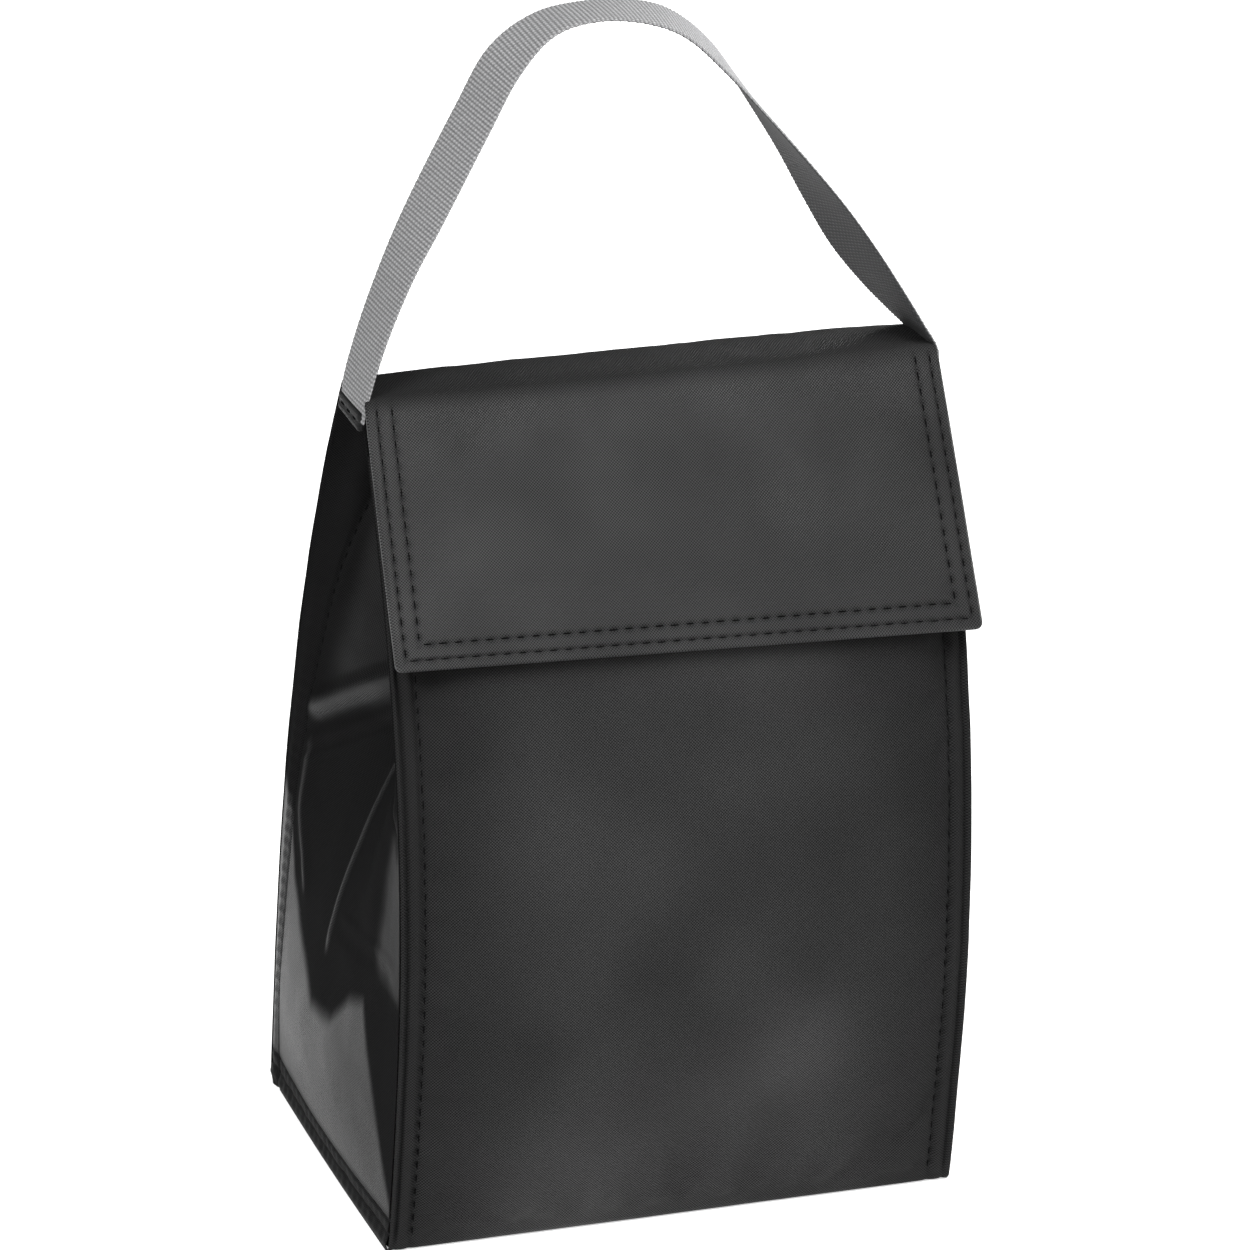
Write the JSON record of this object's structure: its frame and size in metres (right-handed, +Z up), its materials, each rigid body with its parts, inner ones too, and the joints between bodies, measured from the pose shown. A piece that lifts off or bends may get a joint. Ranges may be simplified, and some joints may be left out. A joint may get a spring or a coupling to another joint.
{
  "type": "insulated cooler bag",
  "caption": "Soft insulated lunch cooler with folding side gussets, a padded flap that closes over the front with hook and loop tape, and a webbing carrying handle.",
  "frame": {"origin": "middle of the base, on the surface that the bag stands on", "axes": "+Z up, -Y towards the flap's side, which is the front, +X across the front"},
  "size_m": [0.2336, 0.1606, 0.4719],
  "materials": {
    "nylon": "plain-weave coated nylon, charcoal, slight sheen",
    "foam": "closed-cell polyethylene foam, matte",
    "foil": "aluminised film lining, satin, slightly wrinkled",
    "tape": "hook and loop tape, black, matte",
    "webbing": "ribbed polypropylene webbing, light grey"
  },
  "bodies": {
    "shell": {"base_panel": "nylon", "base_foam": "foam", "base_lining": "foil", "base_left_seam": "nylon", "base_right_seam": "nylon", "back_panel": "nylon", "back_foam": "foam", "back_lining": "foil", "back_left_seam": "nylon", "back_right_seam": "nylon", "left_gusset_back_panel": "nylon", "left_gusset_back_foam": "foam", "left_gusset_back_lining": "foil", "right_gusset_back_panel": "nylon", "right_gusset_back_foam": "foam", "right_gusset_back_lining": "foil", "top_fold_panel": "nylon", "top_fold_foam": "foam", "top_fold_lining": "foil", "handle_left_end": "webbing", "handle_right_end": "webbing"},
    "front_wall": {"front_panel": "nylon", "front_foam": "foam", "front_lining": "foil", "front_left_seam": "nylon", "front_right_seam": "nylon", "mouth_hem": "nylon", "loop_strip": "tape", "left_gusset_front_panel": "nylon", "left_gusset_front_foam": "foam", "left_gusset_front_lining": "foil", "right_gusset_front_panel": "nylon", "right_gusset_front_foam": "foam", "right_gusset_front_lining": "foil"},
    "flap": {"flap_panel": "nylon", "flap_foam": "foam", "flap_lining": "foil", "flap_hem": "nylon", "hook_strip": "tape"},
    "handle": {"handle_webbing": "webbing"}
  },
  "joints": [
    {"name": "flap_hinge", "type": "hinge", "parent": "shell", "child": "flap", "pos_m": [0, -0.0122, 0.3273], "axis": [-1, 0, 0], "range_deg": [0, 145]},
    {"name": "front_wall_fold", "type": "hinge", "parent": "shell", "child": "front_wall", "pos_m": [0, -0.075, 0], "axis": [1, 0, 0], "range_deg": [0, 8.5]},
    {"name": "handle_swing", "type": "hinge", "parent": "shell", "child": "handle", "pos_m": [0, 0.0007, 0.35], "axis": [-1, 0, 0], "range_deg": [0, 90]}
  ],
  "couplings": [
    {"joint": "front_wall_fold", "follows": "flap_hinge", "ratio": 0.0586}
  ]
}
